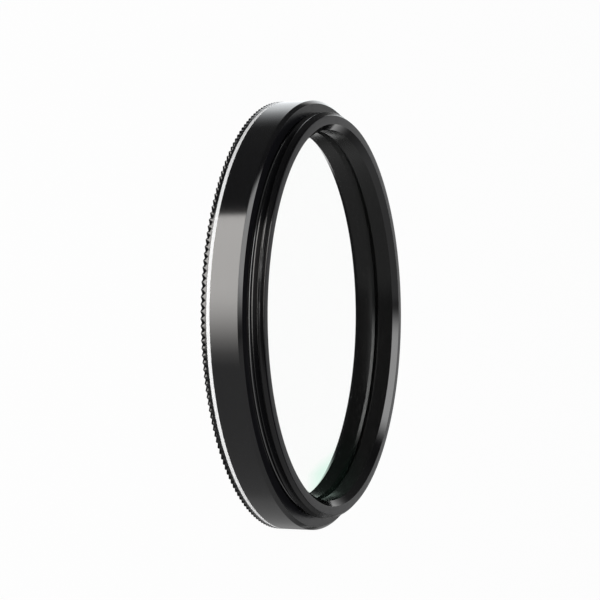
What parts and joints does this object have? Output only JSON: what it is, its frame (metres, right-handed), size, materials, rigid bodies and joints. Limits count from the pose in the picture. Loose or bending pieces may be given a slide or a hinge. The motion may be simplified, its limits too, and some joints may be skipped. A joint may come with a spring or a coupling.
{
  "type": "optical bandpass filter",
  "caption": "Round screw-in optical bandpass filter: a coated glass disc in a knurled black cell with a white stripe, a male thread in front and a female thread behind.",
  "frame": {"origin": "centre of the rear face, on the optical axis; the filter stands on this face", "axes": "+Z along the optical axis, from the female thread behind towards the male thread in front"},
  "size_m": [0.0508, 0.0508, 0.0067],
  "materials": {
    "anodised_aluminium": "glossy black anodised",
    "white_paint": "satin white paint",
    "coated_glass": "polished, with a mirror-like interference coating on the front face",
    "ring_aluminium": "satin black anodised"
  },
  "bodies": {
    "root": {"filter_cell": "anodised_aluminium", "index_stripe": "white_paint", "filter_glass": "coated_glass", "retaining_ring": "ring_aluminium"}
  },
  "joints": []
}
